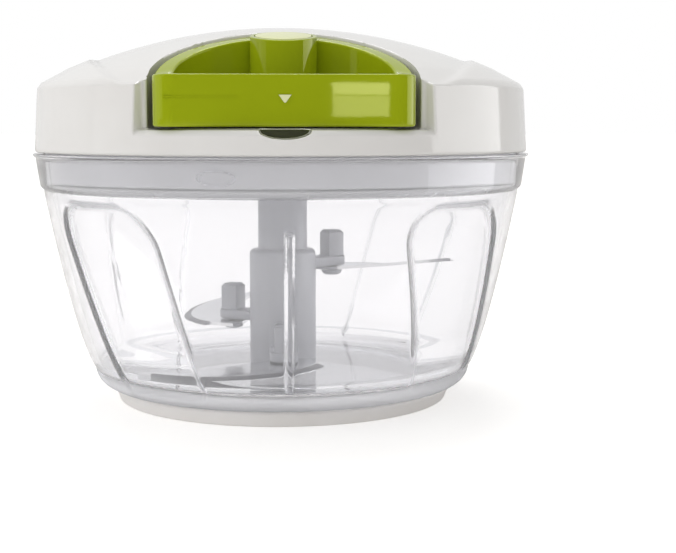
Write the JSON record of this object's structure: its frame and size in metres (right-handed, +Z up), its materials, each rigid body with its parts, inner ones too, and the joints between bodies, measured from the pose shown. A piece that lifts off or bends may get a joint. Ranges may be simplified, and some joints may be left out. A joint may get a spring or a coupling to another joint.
{
  "type": "manual food processor",
  "caption": "Pull-cord food chopper: clear round bowl, crescent blades on a spinning hub, and a white domed lid with a green pull handle.",
  "frame": {"origin": "on the table, under the middle of the bowl", "axes": "+Z up along the bowl's and the blades' axis, -Y towards the front, the way the handle is pulled, +X to the right seen from the front"},
  "size_m": [0.126, 0.126, 0.0954],
  "materials": {
    "clear_plastic": "clear and glossy, moulded",
    "soft_foot": "translucent off-white soft plastic, matt",
    "pin_steel": "bright turned steel",
    "white_gloss": "glossy moulded",
    "base_white": "satin moulded",
    "silicone": "matt silicone",
    "acetal": "satin moulded",
    "bush_bronze": "sintered, matt",
    "spring_steel": "blued strip, satin",
    "cord_nylon": "braided",
    "hub_plastic": "satin moulded",
    "green_gloss": "glossy moulded",
    "pale_green": "glossy moulded, slightly translucent",
    "blade_steel": "fine ground, with a darker ground edge"
  },
  "bodies": {
    "bowl": {"bowl": "clear_plastic", "foot_ring": "soft_foot", "pivot_pin": "pin_steel"},
    "lid": {"lid_shell": "white_gloss", "lid_base": "base_white", "lid_seal": "silicone", "cord_eyelet": "acetal", "lid_screw_1": "pin_steel", "lid_screw_2": "pin_steel", "lid_screw_3": "pin_steel", "lid_screw_4": "pin_steel", "shaft_bush": "bush_bronze", "spool_axle": "pin_steel", "recoil_spring": "spring_steel", "spring_cover": "acetal", "cord_lead": "cord_nylon"},
    "drive": {"cord_spool": "acetal", "cord_winding": "cord_nylon", "drive_shaft": "hub_plastic"},
    "handle": {"pull_handle": "green_gloss", "knot_cap": "pale_green", "pull_cord": "cord_nylon"},
    "blades": {"blade_hub": "hub_plastic", "blade_low": "blade_steel", "blade_mid": "blade_steel", "blade_high": "blade_steel", "rivet_low": "hub_plastic", "rivet_mid": "hub_plastic", "rivet_high": "hub_plastic"}
  },
  "joints": [
    {"name": "lid_lift", "type": "slide", "parent": "bowl", "child": "lid", "axis": [0, 0, 1], "range_m": [0, 0.07]},
    {"name": "handle_pull", "type": "slide", "parent": "lid", "child": "handle", "axis": [0, -1, 0], "range_m": [0, 0.3], "stiffness_N_per_m": 15, "springref_m": -0.2},
    {"name": "spool_spin", "type": "hinge", "parent": "lid", "child": "drive", "pos_m": [0, 0, 0.075], "axis": [0, 0, 1], "range_deg": [0, 1230]},
    {"name": "blade_spin", "type": "hinge", "parent": "bowl", "child": "blades", "pos_m": [0, 0, 0.0082], "axis": [0, 0, 1], "range_deg": [0, 1230]}
  ],
  "couplings": [
    {"joint": "spool_spin", "follows": "handle_pull", "rad_per_m": 71.429},
    {"joint": "blade_spin", "follows": "handle_pull", "rad_per_m": 71.429}
  ]
}
